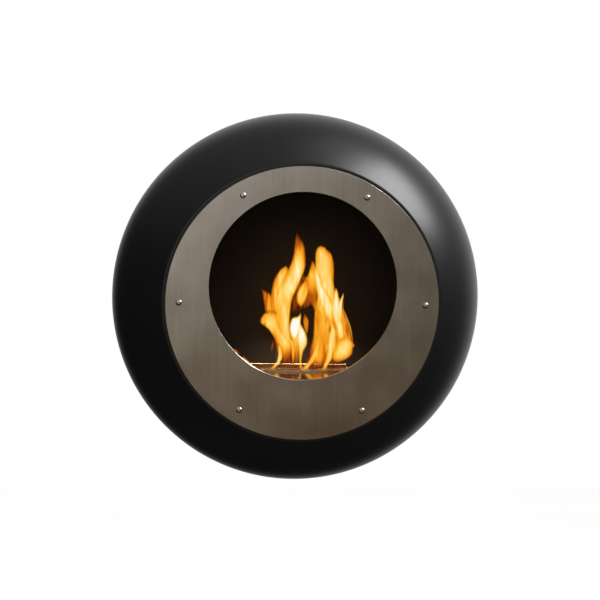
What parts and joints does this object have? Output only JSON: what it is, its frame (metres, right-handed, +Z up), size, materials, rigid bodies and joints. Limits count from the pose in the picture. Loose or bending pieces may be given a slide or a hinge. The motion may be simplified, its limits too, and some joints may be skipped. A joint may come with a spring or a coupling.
{
  "type": "wall-mounted bioethanol fireplace",
  "caption": "Round wall-hung bioethanol fireplace: black domed body, brushed steel trim ring set low around an open fire chamber, lift-out burner with sliding shutter.",
  "frame": {"origin": "on the wall plane, at the middle of the wall bracket's four holes, on the axis of the round body", "axes": "+Z up, +Y into the wall along the body's axis, +X to the right as seen from the room"},
  "size_m": [0.6, 0.2278, 0.6],
  "materials": {
    "satin_black_paint": "satin heat-resistant powder coat",
    "brushed_stainless": "vertically brushed",
    "stainless_screw": "polished stainless screws",
    "chamber_black": "matt black stove paint",
    "burner_stainless": "polished, heat tinted",
    "tank_stainless": "mill finish",
    "ceramic_wool": "white ceramic fibre",
    "graphite_gasket": "woven fibre seal",
    "galvanised_sheet": "galvanised",
    "bracket_paint": "black powder coat",
    "zinc_plated": "bright zinc plate",
    "buffer_rubber": "moulded"
  },
  "bodies": {
    "bracket": {"wall_bracket": "bracket_paint"},
    "housing": {"front_shell": "satin_black_paint", "rear_shell": "satin_black_paint", "seam_bolts": "zinc_plated", "seam_nuts": "zinc_plated", "trim_plate": "brushed_stainless", "trim_screws": "stainless_screw", "mouth_nuts": "zinc_plated", "mouth_gasket": "graphite_gasket", "chamber_wall": "chamber_black", "chamber_back": "chamber_black", "chamber_floor": "chamber_black", "chamber_rivets": "chamber_black", "floor_screws": "chamber_black", "floor_nuts": "zinc_plated", "heat_shield": "galvanised_sheet", "shield_studs": "zinc_plated", "shield_spacers": "zinc_plated", "shield_nuts": "zinc_plated", "hanger_cleat": "bracket_paint", "cleat_doubler": "galvanised_sheet", "cleat_washers": "zinc_plated", "cleat_bolts": "zinc_plated", "cleat_nuts": "zinc_plated", "wall_buffers": "buffer_rubber"},
    "burner": {"burner_top": "burner_stainless", "burner_tank": "tank_stainless", "burner_wool": "ceramic_wool", "burner_mesh": "burner_stainless", "shutter_rails": "burner_stainless"},
    "shutter_plate": {"shutter": "burner_stainless"}
  },
  "joints": [
    {"name": "hang_lift", "type": "slide", "parent": "bracket", "child": "housing", "axis": [0, 0, 1], "range_m": [0, 0.016]},
    {"name": "burner_lift", "type": "slide", "parent": "housing", "child": "burner", "axis": [0, 0, 1], "range_m": [0, 0.07]},
    {"name": "shutter_slide", "type": "slide", "parent": "burner", "child": "shutter_plate", "axis": [0, 1, 0], "range_m": [0, 0.0767]}
  ]
}
